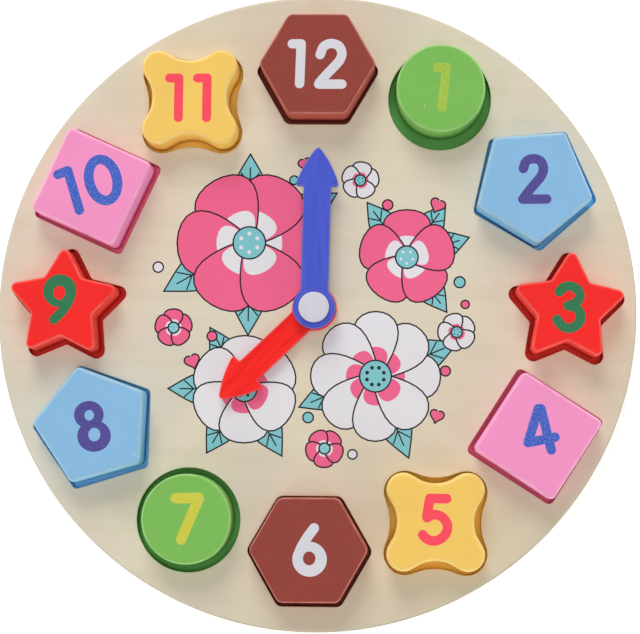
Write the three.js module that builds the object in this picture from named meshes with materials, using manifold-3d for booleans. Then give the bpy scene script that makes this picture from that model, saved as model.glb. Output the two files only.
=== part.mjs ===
// Wooden clock puzzle. A thin base board and a thicker face board are glued together.
// The face board has twelve cut-outs on a ring, and each holds one loose number block of
// its own outline. Two plastic hands turn on a two-part plastic rivet in the middle.
// Millimetres, +Z up. The origin is the middle of the base board's underside, and
// 12 o'clock is at +Y.

import * as THREE from "three";
import { mergeVertices } from "three/addons/utils/BufferGeometryUtils.js";
import Module from "manifold-3d";

const wasm = await Module();
wasm.setup();

// Boards
const baseThickness = 3;
const faceThickness = 6;
const boardEdgeRound = 0.8;
const cutEdgeRound = 0.3;
const webBetweenCuts = 6.9;
const rimOutsideCuts = 4.16;
const ringRightOfMiddle = 0.3;
const ringAboveMiddle = 0.3;

// Number blocks
const blockHeight = 15;
const blockSeatGap = 0.3;
const blockEdgeRound = 0.8;

// Hexagon, blocks 12 and 6
const hexagonInradius = 18.3;
const hexagonCorner = 3;
const hexagonPlay = 1.15;
const hexagonOutward = -1.7;

// Circle, blocks 1 and 7
const roundRadius = 15.9;
const roundPlay = 2.65;
const roundOutward = -0.2;

// Pentagon, blocks 2 and 8
const pentagonInradius = 17.6;
const pentagonCorner = 2;
const pentagonPlay = 1.4;
const pentagonOutward = 1.2;

// Five-point star, blocks 3 and 9
const starFlankInradius = 10.55;
const starTipHalfDegrees = 29;
const starTipRound = 2;
const starNotchRound = 1.7;
const starPlay = 1.4;
const starCutTipEase = 0.95;
const starOutward = 1.1;

// Square, blocks 4 and 10
const squareInradius = 16.5;
const squareCorner = 2;
const squarePlay = 1.25;
const squareOutward = 2.1;

// Square with four round lobes and drawn-in sides, blocks 5 and 11
const lobedHalfWidth = 17.25;
const lobedLobeRound = 6;
const lobedSideDip = 3.7;
const lobedPlay = 1.05;
const lobedCutRoundEase = 1.5;
const lobedCutDipEase = 1.45;
const lobedOutward = -0.7;

// Hands
const minuteTipToCuts = 7.84;
const hourShorterBy = 11.2;
const handPlate = 2;
const handEdgeRound = 0.4;
const minuteHubRadius = 7.6;
const hourHubRadius = 8;
const handHubFillet = 2.4;
const handHeadLength = 14;
const handTipRound = 0.9;
const handFlankRadius = 34;
const handBarbRound = 0.8;
const handNeckRound = 0.5;
const handBossInset = 1;
const handBossUnder = 0.8;
const handBossOver = 0.4;
const minuteBarWidth = 9.9;
const minuteHeadWidth = 15.1;
const hourBarWidth = 9.3;
const hourHeadWidth = 15.2;
const minuteClockDegrees = 1;
const hourClockDegrees = 226;

// Rivet: a button with a hollow stem from the front, a flange with a pin from the back
const stemRadius = 3;
const buttonRadius = 5.45;
const buttonRimHeight = 1;
const buttonEdgeRound = 0.4;
const buttonDomeRise = 0.7;
const pinRadius = 1.9;
const pinLength = 9.5;
const pinEndChamfer = 0.4;
const flangeRadius = 7;
const flangeThickness = 1;
const flangeEdgeRound = 0.3;
const flangeBelowFlush = 0.2;

// Clearances
const runningGap = 0.3;
const pinEndRoom = 0.6;
const cutOverrun = 1;
const weldTolerance = 1e-4;

// Heights that follow from the stack
const boardTop = baseThickness + faceThickness;
const handStack = handBossUnder + handPlate + handBossOver;
const hourBottom = boardTop + runningGap;
const minuteBottom = hourBottom + handStack + runningGap;
const buttonBottom = minuteBottom + handStack + runningGap;
const flangeTop = flangeBelowFlush + flangeThickness;
const counterboreDepth = flangeTop + runningGap;
const stemHoleRadius = stemRadius + runningGap;

function radians(degrees) {
  return THREE.MathUtils.degToRad(degrees);
}

// An outline is a chain of tangent arcs, run anticlockwise. An arc whose angle falls is a
// hollow one, so growing the outline makes it tighter where a rounded one gets wider.
function arc(x, y, radius, from, to, steps) {
  return { x, y, radius, from, to, steps };
}

function outlinePoints(arcs, grow = 0) {
  const points = [];
  for (const a of arcs) {
    const radius = a.to > a.from ? a.radius + grow : a.radius - grow;
    for (let i = 0; i <= a.steps; i++) {
      const angle = a.from + ((a.to - a.from) * i) / a.steps;
      const next = new THREE.Vector2(a.x + radius * Math.cos(angle), a.y + radius * Math.sin(angle));
      const last = points.at(-1);
      if (!last || last.distanceTo(next) > weldTolerance) points.push(next);
    }
  }
  if (points[0].distanceTo(points.at(-1)) < weldTolerance) points.pop();
  return points;
}

function circle(radius, steps = 48) {
  return [arc(0, 0, radius, 0, 2 * Math.PI, steps)];
}

function roundedPolygon(sides, inradius, corner, steps = 4) {
  const half = Math.PI / sides;
  const out = (inradius - corner) / Math.cos(half);
  return Array.from({ length: sides }, (_, k) => {
    const middle = 2 * half * k;
    const [x, y] = [out * Math.cos(middle), out * Math.sin(middle)];
    return arc(x, y, corner, middle - half, middle + half, steps);
  });
}

// Rounded tips joined by hollow arcs, for the star and the lobed square. Each tip and
// hollow has its radius and how far out its centre lies, and the lines between touch both.
function tipsAndHollows(count, tipOut, tipRound, hollowOut, hollowRound, tipSteps, hollowSteps) {
  const half = Math.PI / count;
  const [dx, dy] = [hollowOut * Math.cos(half) - tipOut, hollowOut * Math.sin(half)];
  const slant = Math.acos(Math.min(1, (tipRound + hollowRound) / Math.hypot(dx, dy)));
  const spread = Math.atan2(dy, dx) - slant;
  const arcs = [];
  for (let k = 0; k < count; k++) {
    const tip = 2 * half * k;
    const hollow = tip + half;
    const turn = spread - half;
    const [tx, ty] = [tipOut * Math.cos(tip), tipOut * Math.sin(tip)];
    const [hx, hy] = [hollowOut * Math.cos(hollow), hollowOut * Math.sin(hollow)];
    arcs.push(arc(tx, ty, tipRound, tip - spread, tip + spread, tipSteps));
    arcs.push(arc(hx, hy, hollowRound, hollow + Math.PI + turn, hollow + Math.PI - turn, hollowSteps));
  }
  return arcs;
}

// Each flank of the star is a line at the flank inradius from the middle.
function star(play) {
  const tipRound = starTipRound + (starCutTipEase * play) / starPlay;
  const spread = Math.PI / 2 - radians(starTipHalfDegrees);
  const tipOut = (starFlankInradius + play - tipRound) / Math.cos(spread);
  const notchOut = (starFlankInradius + play + starNotchRound) / Math.cos(spread - Math.PI / 5);
  return tipsAndHollows(5, tipOut, tipRound, notchOut, starNotchRound, 4, 3);
}

// Each drawn-in side is the one arc that touches both of its lobes.
function lobedSquare(halfWidth, lobeRound, sideDip) {
  const waist = halfWidth - sideDip;
  const lobeOut = Math.SQRT2 * (halfWidth - lobeRound);
  const along = lobeOut * Math.SQRT1_2;
  const over = lobeRound ** 2 - lobeOut ** 2 - waist ** 2 + 2 * along * waist;
  const sideRound = over / (2 * (waist - along - lobeRound));
  return tipsAndHollows(4, lobeOut, lobeRound, waist + sideRound, sideRound, 7, 5);
}

function lobed(play) {
  const ease = play / lobedPlay;
  const lobeRound = lobedLobeRound + lobedCutRoundEase * ease;
  return lobedSquare(lobedHalfWidth + play, lobeRound, lobedSideDip - lobedCutDipEase * ease);
}

// Each kind of block: its outline with a given play round it, its half width without that
// play, how far its cut-outs lie outside the mean ring, and its painted colour.
const kinds = {
  hexagon: {
    outline: (play) => roundedPolygon(6, hexagonInradius + play, hexagonCorner),
    halfWidth: hexagonInradius, play: hexagonPlay, outward: hexagonOutward, colour: 0x93483f,
  },
  round: {
    outline: (play) => circle(roundRadius + play),
    halfWidth: roundRadius, play: roundPlay, outward: roundOutward, colour: 0x7dbb5d,
  },
  pentagon: {
    outline: (play) => roundedPolygon(5, pentagonInradius + play, pentagonCorner),
    halfWidth: pentagonInradius, play: pentagonPlay, outward: pentagonOutward, colour: 0x8cbbe2,
  },
  star: {
    outline: star,
    halfWidth: starFlankInradius, play: starPlay, outward: starOutward, colour: 0xf23230,
  },
  square: {
    outline: (play) => roundedPolygon(4, squareInradius + play, squareCorner),
    halfWidth: squareInradius, play: squarePlay, outward: squareOutward, colour: 0xf097c7,
  },
  lobed: {
    outline: lobed,
    halfWidth: lobedHalfWidth, play: lobedPlay, outward: lobedOutward, colour: 0xf0c869,
  },
};

// The twelve places. Angles are in degrees: clock is the place on the dial, clockwise from
// 12, turn is the cut-out's own turn, and slew is how far the block lies askew in it.
// lieShare is how far the block has slid in its cut-out, as shares of the play.
const places = [
  { number: 12, kind: "hexagon", clock: 359.9, turn: -0.2, slew: -0.1, lieShare: [0.26, 0.7] },
  { number: 1, kind: "round", clock: 30.1, turn: 0, slew: 0, lieShare: [0.09, 0.86] },
  { number: 2, kind: "pentagon", clock: 60.4, turn: -12.3, slew: -1.3, lieShare: [-0.38, -0.1] },
  { number: 3, kind: "star", clock: 90.7, turn: 87.4, slew: -0.6, lieShare: [0.3, 0.65] },
  { number: 4, kind: "square", clock: 120, turn: 12.7, slew: -0.4, lieShare: [0.4, 0.03] },
  { number: 5, kind: "lobed", clock: 150.4, turn: 45, slew: 0.2, lieShare: [-0.15, 0.54] },
  { number: 6, kind: "hexagon", clock: 180.9, turn: 0.1, slew: 0.3, lieShare: [0.07, 0.65] },
  { number: 7, kind: "round", clock: 210.4, turn: 0, slew: 0, lieShare: [0.07, 0.17] },
  { number: 8, kind: "pentagon", clock: 241, turn: -36.5, slew: -1.3, lieShare: [0.03, 0.41] },
  { number: 9, kind: "star", clock: 269.8, turn: 88.2, slew: 0.5, lieShare: [-0.55, 0.4] },
  { number: 10, kind: "square", clock: 297.9, turn: 20.6, slew: 0.2, lieShare: [-0.6, 0.38] },
  { number: 11, kind: "lobed", clock: 328.6, turn: 44.9, slew: 0.4, lieShare: [-0.2, 0.52] },
];

// The ring is wide enough to leave the web between the widest cut-outs. It was routed a
// little off the middle of the board.
const widestCut = 2 * Math.max(...Object.values(kinds).map((k) => k.halfWidth + k.play));
const ringRadius = (widestCut + webBetweenCuts) / (2 * Math.sin(Math.PI / places.length));

function placeMatrix(place, extraTurn = 0, slide = [0, 0]) {
  const kind = kinds[place.kind];
  const out = ringRadius + kind.outward;
  const x = ringRightOfMiddle + out * Math.sin(radians(place.clock)) + slide[0];
  const y = ringAboveMiddle + out * Math.cos(radians(place.clock)) + slide[1];
  const matrix = new THREE.Matrix4().makeRotationZ(radians(place.turn + extraTurn));
  return matrix.setPosition(x, y, 0);
}

function cutOutlineDistances() {
  return places.flatMap((place) => {
    const kind = kinds[place.kind];
    const matrix = placeMatrix(place);
    return outlinePoints(kind.outline(kind.play)).map((p) =>
      new THREE.Vector3(p.x, p.y, 0).applyMatrix4(matrix).length());
  });
}

// The board reaches past the farthest cut-out, and the minute hand stops short of the nearest.
const cutDistances = cutOutlineDistances();
const boardRadius = Math.max(...cutDistances) + rimOutsideCuts;
const minuteLength = Math.min(...cutDistances) - minuteTipToCuts;
const hourLength = minuteLength - hourShorterBy;

// A closed solid through a pile of rings, each the same outline grown or shrunk at its height.
function loft(arcs, rings) {
  const layers = rings.map((ring) => outlinePoints(arcs, ring.grow));
  const count = layers[0].length;
  const positions = layers.flatMap((layer, i) => layer.flatMap((p) => [p.x, p.y, rings[i].z]));
  const index = [];
  for (let layer = 0; layer + 1 < layers.length; layer++) {
    for (let i = 0; i < count; i++) {
      const [a, b] = [layer * count + i, layer * count + ((i + 1) % count)];
      index.push(a, b, b + count, a, b + count, a + count);
    }
  }
  const topStart = (layers.length - 1) * count;
  for (const [a, b, c] of THREE.ShapeUtils.triangulateShape(layers[0], [])) {
    index.push(a, c, b, topStart + a, topStart + b, topStart + c);
  }
  const geometry = new THREE.BufferGeometry();
  geometry.setAttribute("position", new THREE.Float32BufferAttribute(positions, 3));
  geometry.setIndex(index);
  geometry.computeVertexNormals();
  return geometry;
}

function quarterTurns(steps) {
  return Array.from({ length: steps + 1 }, (_, i) => ((Math.PI / 2) * i) / steps);
}

// Rings of an upright wall from low to high, with rounded edges of the given radii.
function wallRings(low, high, lowRound, highRound, steps = 2) {
  const rise = lowRound > 0
    ? quarterTurns(steps).map((t) => ({
      z: low + lowRound * (1 - Math.cos(t)), grow: lowRound * (Math.sin(t) - 1),
    }))
    : [{ z: low, grow: 0 }];
  const fall = highRound > 0
    ? quarterTurns(steps).map((t) => ({
      z: high - highRound * (1 - Math.sin(t)), grow: highRound * (Math.cos(t) - 1),
    }))
    : [{ z: high, grow: 0 }];
  return [...rise, ...fall];
}

// Rings of a cutter that leaves a rounded edge where it comes out at the top.
function cutterRings(low, top, edgeRound, steps = 2) {
  const flare = quarterTurns(steps).map((t) => ({
    z: top - edgeRound * (1 - Math.sin(t)), grow: edgeRound * (1 - Math.cos(t)),
  }));
  return [{ z: low, grow: 0 }, ...flare, { z: top + cutOverrun, grow: edgeRound }];
}

function toSolid(geometry) {
  const bare = geometry.clone();
  bare.deleteAttribute("normal");
  bare.deleteAttribute("uv");
  const merged = mergeVertices(bare, weldTolerance);
  const vertProperties = new Float32Array(merged.attributes.position.array);
  const triVerts = new Uint32Array(merged.index.array);
  return new wasm.Manifold(new wasm.Mesh({ numProp: 3, vertProperties, triVerts }));
}

function toGeometry(solid) {
  const mesh = solid.getMesh();
  const geometry = new THREE.BufferGeometry();
  geometry.setAttribute("position", new THREE.BufferAttribute(mesh.vertProperties, 3));
  geometry.setIndex(new THREE.BufferAttribute(mesh.triVerts, 1));
  geometry.computeVertexNormals();
  return geometry;
}

function turned(profile, segments = 36) {
  const geometry = new THREE.LatheGeometry(profile, segments);
  return geometry.rotateX(Math.PI / 2);
}

function arcProfile(x, z, radius, from, to, steps) {
  return outlinePoints([arc(x, z, radius, from, to, steps), arc(x, z, radius, to, to, 1)]);
}

function plug(radius, low, high) {
  return toSolid(loft(circle(radius, 36), wallRings(low, high, 0, 0)));
}

function finish(name, geometry, colour, roughness) {
  const material = new THREE.MeshStandardMaterial({ color: colour, roughness, metalness: 0 });
  const mesh = new THREE.Mesh(geometry, material);
  mesh.name = name;
  return mesh;
}

function baseBoard() {
  const disc = toSolid(loft(circle(boardRadius, 96), wallRings(0, baseThickness, boardEdgeRound, 0)));
  const stemHole = plug(stemHoleRadius, -cutOverrun, baseThickness + cutOverrun);
  const counterbore = plug(flangeRadius + runningGap, -cutOverrun, counterboreDepth);
  const board = disc.subtract(stemHole).subtract(counterbore);
  return finish("base_board", toGeometry(board), 0xd9c6a3, 0.65);
}

function faceBoard() {
  const rings = wallRings(baseThickness, boardTop, 0, boardEdgeRound);
  let board = toSolid(loft(circle(boardRadius, 96), rings));
  board = board.subtract(plug(stemHoleRadius, baseThickness - cutOverrun, boardTop + cutOverrun));
  const cutter = cutterRings(baseThickness - cutOverrun, boardTop, cutEdgeRound);
  for (const place of places) {
    const kind = kinds[place.kind];
    const hole = loft(kind.outline(kind.play), cutter).applyMatrix4(placeMatrix(place));
    board = board.subtract(toSolid(hole));
  }
  return finish("face_board", toGeometry(board), 0xe1d0b4, 0.6);
}

function numberBlock(place) {
  const kind = kinds[place.kind];
  const bottom = baseThickness + blockSeatGap;
  const rings = wallRings(bottom, bottom + blockHeight, blockEdgeRound, blockEdgeRound);
  const slide = place.lieShare.map((share) => share * kind.play);
  const block = loft(kind.outline(0), rings).applyMatrix4(placeMatrix(place, place.slew, slide));
  return finish(`block_${place.number}_${place.kind}`, block, kind.colour, 0.45);
}

// The centre of the large arc that touches two smaller arcs from outside, on the +X side.
function flankCentre(low, high, radius) {
  const [a, b] = [radius - low.radius, radius - high.radius];
  const [dx, dy] = [high.x - low.x, high.y - low.y];
  const apart = Math.hypot(dx, dy);
  const along = (a * a - b * b + apart * apart) / (2 * apart);
  const aside = Math.sqrt(a * a - along * along);
  return {
    x: low.x + (along * dx + aside * dy) / apart,
    y: low.y + (along * dy - aside * dx) / apart,
  };
}

function mirrored(a) {
  return { ...a, x: -a.x, from: Math.PI - a.to, to: Math.PI - a.from };
}

// Outline of a hand that points to +Y: a round hub, a bar and a barbed head with bowed flanks.
function handOutline(length, hubRadius, barWidth, headWidth) {
  const [bar, head] = [barWidth / 2, headWidth / 2];
  const headBottom = length - handHeadLength;
  const tip = { x: 0, y: length - handTipRound, radius: handTipRound };
  const barb = { x: handBarbRound - head, y: headBottom + handBarbRound, radius: handBarbRound };
  const flank = flankCentre(barb, tip, handFlankRadius);
  const flankTop = Math.atan2(tip.y - flank.y, tip.x - flank.x);
  const flankLow = Math.atan2(barb.y - flank.y, barb.x - flank.x) + (barb.y < flank.y ? 2 * Math.PI : 0);
  const filletX = bar + handHubFillet;
  const filletY = Math.sqrt((hubRadius + handHubFillet) ** 2 - filletX ** 2);
  const lean = Math.atan2(filletY, filletX);
  const left = [
    arc(flank.x, flank.y, handFlankRadius, flankTop, flankLow, 5),
    arc(barb.x, barb.y, handBarbRound, flankLow, 1.5 * Math.PI, 4),
    arc(-bar - handNeckRound, headBottom - handNeckRound, handNeckRound, Math.PI / 2, 0, 2),
    arc(-filletX, filletY, handHubFillet, 0, -lean, 3),
  ];
  const hub = arc(0, 0, hubRadius, Math.PI - lean, 2 * Math.PI + lean, 24);
  const point = arc(tip.x, tip.y, handTipRound, Math.PI - flankTop, flankTop, 4);
  return [point, ...left, hub, ...left.map(mirrored).reverse()];
}

function hand(name, bottom, clockDegrees, length, hubRadius, barWidth, headWidth, colour) {
  const plateLow = bottom + handBossUnder;
  const plateRings = wallRings(plateLow, plateLow + handPlate, handEdgeRound, handEdgeRound);
  const plate = toSolid(loft(handOutline(length, hubRadius, barWidth, headWidth), plateRings));
  const bossRings = wallRings(bottom, bottom + handStack, 0, handEdgeRound / 2, 1);
  const boss = toSolid(loft(circle(hubRadius - handBossInset, 36), bossRings));
  const hole = plug(stemHoleRadius, bottom - cutOverrun, bottom + handStack + cutOverrun);
  const geometry = toGeometry(plate.add(boss).subtract(hole));
  return finish(name, geometry.rotateZ(-radians(clockDegrees)), colour, 0.35);
}

function hubButton() {
  const rimTop = buttonBottom + buttonRimHeight;
  const flat = buttonRadius - buttonEdgeRound;
  const domeRadius = (flat ** 2 + buttonDomeRise ** 2) / (2 * buttonDomeRise);
  const domeHalf = Math.asin(flat / domeRadius);
  const boreRadius = pinRadius + runningGap;
  const profile = [
    new THREE.Vector2(0, flangeTop + pinLength + pinEndRoom),
    new THREE.Vector2(boreRadius, flangeTop + pinLength + pinEndRoom),
    new THREE.Vector2(boreRadius, counterboreDepth),
    new THREE.Vector2(stemRadius, counterboreDepth),
    new THREE.Vector2(stemRadius, buttonBottom),
    new THREE.Vector2(buttonRadius, buttonBottom),
    ...arcProfile(flat, rimTop - buttonEdgeRound, buttonEdgeRound, 0, Math.PI / 2, 3),
    ...arcProfile(0, rimTop + buttonDomeRise - domeRadius, domeRadius,
      Math.PI / 2 - domeHalf, Math.PI / 2, 5).slice(1),
  ];
  return finish("hub_button", turned(profile), 0xe6e6ea, 0.3);
}

function rivetBack() {
  const pinTop = flangeTop + pinLength;
  const rim = flangeRadius - flangeEdgeRound;
  const profile = [
    new THREE.Vector2(0, flangeBelowFlush),
    ...arcProfile(rim, flangeBelowFlush + flangeEdgeRound, flangeEdgeRound, -Math.PI / 2, 0, 2),
    new THREE.Vector2(flangeRadius, flangeTop),
    new THREE.Vector2(pinRadius, flangeTop),
    new THREE.Vector2(pinRadius, pinTop - pinEndChamfer),
    new THREE.Vector2(pinRadius - pinEndChamfer, pinTop),
    new THREE.Vector2(0, pinTop),
  ];
  return finish("rivet_back", turned(profile, 32), 0xe6e6ea, 0.35);
}

const clockPuzzle = new THREE.Group();
clockPuzzle.add(baseBoard(), faceBoard());
clockPuzzle.add(...places.map(numberBlock));
clockPuzzle.add(hand("hour_hand", hourBottom, hourClockDegrees, hourLength, hourHubRadius,
  hourBarWidth, hourHeadWidth, 0xfa2d28));
clockPuzzle.add(hand("minute_hand", minuteBottom, minuteClockDegrees, minuteLength, minuteHubRadius,
  minuteBarWidth, minuteHeadWidth, 0x4b5ad2));
clockPuzzle.add(hubButton(), rivetBack());

export default clockPuzzle;
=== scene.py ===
# Wooden clock puzzle: the finished look of each piece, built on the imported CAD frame.
# Metres and the CAD's own axes: +Z up out of the dial, +Y towards 12 o'clock. Outlines
# are worked out in millimetres and turned into metres when a piece is made.

import math

import bmesh
import bpy
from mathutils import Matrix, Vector
from mathutils.geometry import delaunay_2d_cdt


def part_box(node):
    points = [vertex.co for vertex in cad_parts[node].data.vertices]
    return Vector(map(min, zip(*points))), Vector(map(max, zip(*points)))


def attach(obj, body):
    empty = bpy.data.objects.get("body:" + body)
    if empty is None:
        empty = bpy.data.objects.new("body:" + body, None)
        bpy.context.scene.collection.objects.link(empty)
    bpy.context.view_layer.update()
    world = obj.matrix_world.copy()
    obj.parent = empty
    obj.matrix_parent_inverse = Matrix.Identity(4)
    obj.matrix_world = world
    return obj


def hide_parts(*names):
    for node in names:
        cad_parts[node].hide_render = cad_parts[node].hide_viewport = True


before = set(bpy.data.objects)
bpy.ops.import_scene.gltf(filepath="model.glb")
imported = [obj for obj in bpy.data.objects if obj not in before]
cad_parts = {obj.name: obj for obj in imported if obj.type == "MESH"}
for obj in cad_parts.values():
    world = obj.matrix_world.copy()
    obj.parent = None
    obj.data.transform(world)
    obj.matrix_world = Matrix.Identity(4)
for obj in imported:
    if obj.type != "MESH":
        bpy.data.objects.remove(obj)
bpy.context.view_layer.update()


# The camera looks down from a little to the right of and below the dial's middle,
# about 60 cm above it, with a long lens.
camera = bpy.data.objects.new("camera", bpy.data.cameras.new("camera"))
bpy.context.scene.collection.objects.link(camera)
camera.location = (0.03035, -0.0600, 0.6090)
camera.rotation_euler = (0.09536, 0.04640, 0.01015)
camera.data.lens = 94.30
camera.data.clip_start = 0.05
bpy.context.scene.camera = camera


# The studio: a pale floor under an even white surround, a large soft box behind 12 o'clock
# that gives the blocks their soft shadows, one high above the camera that reaches down into
# the cut-outs, and two low ones in front that fill the sides of the blocks.
bpy.context.scene.view_settings.view_transform = "Standard"


def add_node(tree, kind, inputs=None, **settings):
    """A node with its settings, and each input linked to a socket or set to a value."""
    made = tree.nodes.new(kind)
    for name, value in settings.items():
        setattr(made, name, value)
    for name, value in (inputs or {}).items():
        if isinstance(value, bpy.types.NodeSocket):
            tree.links.new(value, made.inputs[name])
        else:
            made.inputs[name].default_value = value
    return made


def linear(red, green, blue):
    """A colour as a paint chart gives it, 0 to 255, as the shaders take it."""
    def one(value):
        share = value / 255
        return share / 12.92 if share <= 0.04045 else ((share + 0.055) / 1.055) ** 2.4
    return (one(red), one(green), one(blue), 1)


def blended(tree, share, first, second):
    """The first colour where the share is 0, and the second where it is 1."""
    mix = tree.nodes.new("ShaderNodeMix")
    mix.data_type = "RGBA"
    for index, value in ((0, share), (6, first), (7, second)):
        if isinstance(value, bpy.types.NodeSocket):
            tree.links.new(value, mix.inputs[index])
        else:
            mix.inputs[index].default_value = value
    return mix.outputs[2]


def empty_material(name):
    """A material with nothing in its node tree yet, and the tree."""
    material = bpy.data.materials.new(name)
    material.use_nodes = True
    material.node_tree.nodes.clear()
    return material, material.node_tree


def finished(tree, shader):
    """Makes the shader the surface of its material."""
    add_node(tree, "ShaderNodeOutputMaterial", {"Surface": shader.outputs[0]})


surround = bpy.data.worlds.new("surround")
surround.use_nodes = True
surround_light = surround.node_tree.nodes["Background"]
surround_light.inputs["Color"].default_value = (1.0, 0.985, 0.96, 1)
surround_light.inputs["Strength"].default_value = 0.345
bpy.context.scene.world = surround


def soft_box(name, place, size, energy, colour):
    """A round soft box that faces the middle of the dial."""
    box = bpy.data.objects.new(name, bpy.data.lights.new(name, "AREA"))
    bpy.context.scene.collection.objects.link(box)
    box.data.shape = "DISK"
    box.data.size = size
    box.data.energy = energy
    box.data.color = colour
    box.location = place
    box.rotation_euler = (-box.location).to_track_quat("-Z", "Y").to_euler()


soft_box("key_box", (-0.6, 3.4, 2.1), 2.2, 96, (1.0, 0.98, 0.95))
soft_box("camera_box", (0.15, -0.3, 3.05), 1.2, 26, (1.0, 0.985, 0.96))
soft_box("left_fill", (-1.9, -2.2, 0.7), 1.2, 21, (1.0, 0.98, 0.96))
soft_box("right_fill", (2.1, -1.9, 0.7), 1.2, 21, (1.0, 0.98, 0.96))

floor_half = 2.0
floor_drop = 0.0002
floor_mesh = bpy.data.meshes.new("floor")
floor_mesh.from_pydata(
    [(-floor_half, -floor_half, -floor_drop), (floor_half, -floor_half, -floor_drop),
     (floor_half, floor_half, -floor_drop), (-floor_half, floor_half, -floor_drop)],
    [], [(0, 1, 2, 3)])
floor = bpy.data.objects.new("floor", floor_mesh)
bpy.context.scene.collection.objects.link(floor)
floor_material, tree = empty_material("pale_floor")
floor_clouds = add_node(tree, "ShaderNodeTexNoise", {"Scale": 3.0, "Detail": 2.0})
floor_colour = blended(
    tree, floor_clouds.outputs["Fac"], (0.97, 0.97, 0.97, 1), (0.99, 0.99, 0.99, 1))
finished(tree, add_node(tree, "ShaderNodeBsdfPrincipled", {
    "Base Color": floor_colour, "Roughness": 0.9,
    "Emission Color": (1, 1, 1, 1), "Emission Strength": 0.36}))
floor_mesh.materials.append(floor_material)


# The base board: a thin plywood disc glued behind the face board. It is the floor of the
# cut-outs and is sprayed with their paint there, in tones that paint the light and shade
# inside them, and a counterbore in its underside takes the rivet's flange.
mm = 0.001
stem_hole_radius = 3.3
counterbore_radius = 7.3
counterbore_depth = 1.5
board_edge_round = 0.8

# How near corners count as level, how long a chord of an arc may be, how wide a narrow band
# keeps the flat beside a rounding flat, and how near points count as one.
foot_tolerance = 0.01
longest_chord = 4.0
support = 0.15
least_gap = 0.00001


def wall_outlines(node):
    """The closed outlines of a CAD node's upright walls, at their foot."""
    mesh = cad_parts[node].data
    points = [vertex.co / mm for vertex in mesh.vertices]
    levels = sorted({round(point.z, 2) for point in points})
    foot = max(zip(levels, levels[1:]), key=lambda pair: pair[1] - pair[0])[0]
    following = {}
    for face in mesh.polygons:
        corners = [points[index] for index in face.vertices]
        for a, b, c in zip(corners, corners[1:] + corners[:1], corners[2:] + corners[:2]):
            at_foot = abs(a.z - foot) < foot_tolerance and abs(b.z - foot) < foot_tolerance
            if at_foot and c.z > foot + foot_tolerance:
                following[(round(a.x, 3), round(a.y, 3))] = (round(b.x, 3), round(b.y, 3))
    outlines = []
    while following:
        start, here = following.popitem()
        outline = [Vector(start)]
        while here in following:
            outline.append(Vector(here))
            here = following.pop(here)
        outlines.append(anticlockwise(outline))
    return outlines


def signed_area(outline):
    return sum(a.cross(b) for a, b in zip(outline, outline[1:] + outline[:1])) / 2


def anticlockwise(outline):
    return outline if signed_area(outline) > 0 else outline[::-1]


def middle_of(outline):
    """The centre of the outline's area."""
    total = Vector((0, 0))
    for a, b in zip(outline, outline[1:] + outline[:1]):
        total += (a + b) * a.cross(b)
    return total / (6 * signed_area(outline))


def smoothed(outline, parts=3):
    """Bends the short chords of the outline back into arcs, and leaves long sides straight."""
    count = len(outline)
    sides = [outline[(i + 1) % count] - outline[i] for i in range(count)]

    def heading(i):
        """The way the smooth line takes through point i."""
        before, after = sides[i - 1], sides[i % count]
        if (before.length > longest_chord) != (after.length > longest_chord):
            return (before if before.length > after.length else after).normalized()
        mean = before.normalized() * after.length + after.normalized() * before.length
        return mean.normalized()

    smooth = []
    for i, side in enumerate(sides):
        start, end = outline[i], outline[(i + 1) % count]
        if side.length > longest_chord:
            step = side.normalized() * support
            smooth += [start, start + step, end - step]
            continue
        leave, arrive = heading(i) * side.length, heading(i + 1) * side.length
        for part in range(parts):
            t = part / parts
            smooth.append(
                start * (2 * t**3 - 3 * t**2 + 1) + leave * (t**3 - 2 * t**2 + t)
                + end * (3 * t**2 - 2 * t**3) + arrive * (t**3 - t**2))
    return smooth


def grown(outline, amount):
    """The outline moved outwards, or inwards by an amount below zero."""
    larger = []
    for before, here, after in zip(outline[-1:] + outline[:-1], outline, outline[1:] + outline[:1]):
        into, away = (here - before).normalized(), (after - here).normalized()
        out = Vector((into.y + away.y, -into.x - away.x)).normalized()
        larger.append(here + out * (amount / max(0.5, out.dot(Vector((into.y, -into.x))))))
    return larger


def circle(radius, count=96, middle=(0, 0)):
    return [Vector((middle[0] + radius * math.cos(2 * math.pi * i / count),
                    middle[1] + radius * math.sin(2 * math.pi * i / count))) for i in range(count)]


def quarter(steps=6):
    """The angles of a quarter turn, in even steps."""
    return [math.pi / 2 * i / steps for i in range(steps + 1)]


def lower_edge(level, radius):
    """Rings (height, growth, edge) from a flat underside round to an upright wall."""
    turn = [(level + radius * (1 - math.cos(t)), radius * (math.sin(t) - 1), math.sin(2 * t))
            for t in quarter()]
    return [(level, -radius - support, 0)] + turn + [(level + radius + support, 0, 0)]


def upper_edge(level, radius):
    """Rings from an upright wall round to a flat top."""
    turn = [(level - radius * (1 - math.sin(t)), radius * (math.cos(t) - 1), math.sin(2 * t))
            for t in quarter()]
    return [(level - radius - support, 0, 0)] + turn + [(level, -radius - support, 0)]


def flared_edge(level, radius):
    """Rings from the wall of a cut-out round and out to the flat top beside it."""
    return [(height, -growth, edge) for height, growth, edge in upper_edge(level, radius)]


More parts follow.
